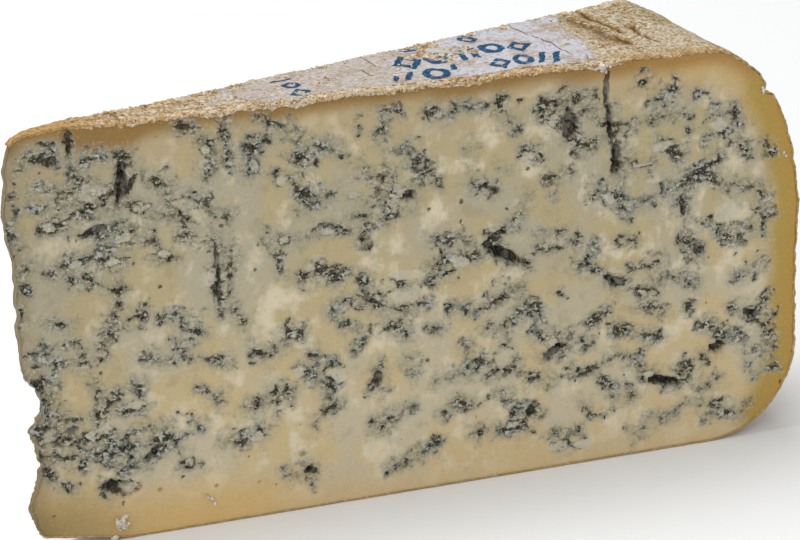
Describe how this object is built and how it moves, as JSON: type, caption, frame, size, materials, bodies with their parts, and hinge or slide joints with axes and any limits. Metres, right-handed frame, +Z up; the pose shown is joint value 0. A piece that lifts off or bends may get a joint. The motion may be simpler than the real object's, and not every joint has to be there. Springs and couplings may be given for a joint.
{
  "type": "blue cheese wedge",
  "caption": "Thin sector-shaped wedge of veined blue cheese with a dry rind on top, base and rounded rim, and a worn paper disc on the rind.",
  "frame": {"origin": "middle of the base, on the surface that the wedge stands on", "axes": "+X along the middle of the wedge from the thin end to the rim, +Y from the near cut face to the far one, +Z up"},
  "size_m": [0.1657, 0.0442, 0.0864],
  "materials": {
    "cheese": "moist creamy paste marbled with blue-grey mould, dry ochre rind",
    "label": "matt worn off-white paper with faded blue print"
  },
  "bodies": {
    "root": {"cheese": "cheese", "label": "label"}
  },
  "joints": []
}
